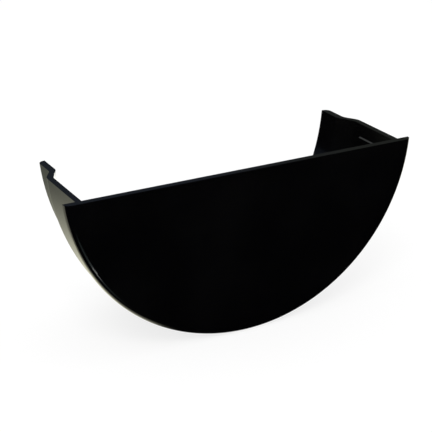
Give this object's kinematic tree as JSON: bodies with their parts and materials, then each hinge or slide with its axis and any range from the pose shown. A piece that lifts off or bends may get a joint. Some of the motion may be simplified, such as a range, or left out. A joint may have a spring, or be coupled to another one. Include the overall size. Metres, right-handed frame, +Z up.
{
  "type": "gutter end cap",
  "caption": "Half-round black plastic end cap with a flat end plate and a stepped, clip-in band that closes the open end of a gutter run.",
  "frame": {"origin": "middle of the end plate's straight top edge, on its outer face", "axes": "+X to the right along the top edge as the outer face is seen, +Y from the outer face into the gutter, +Z up"},
  "size_m": [0.1206, 0.0402, 0.0545],
  "materials": {
    "black_plastic": "smooth moulded, slightly glossy"
  },
  "bodies": {
    "root": {"end_cap": "black_plastic"}
  },
  "joints": []
}
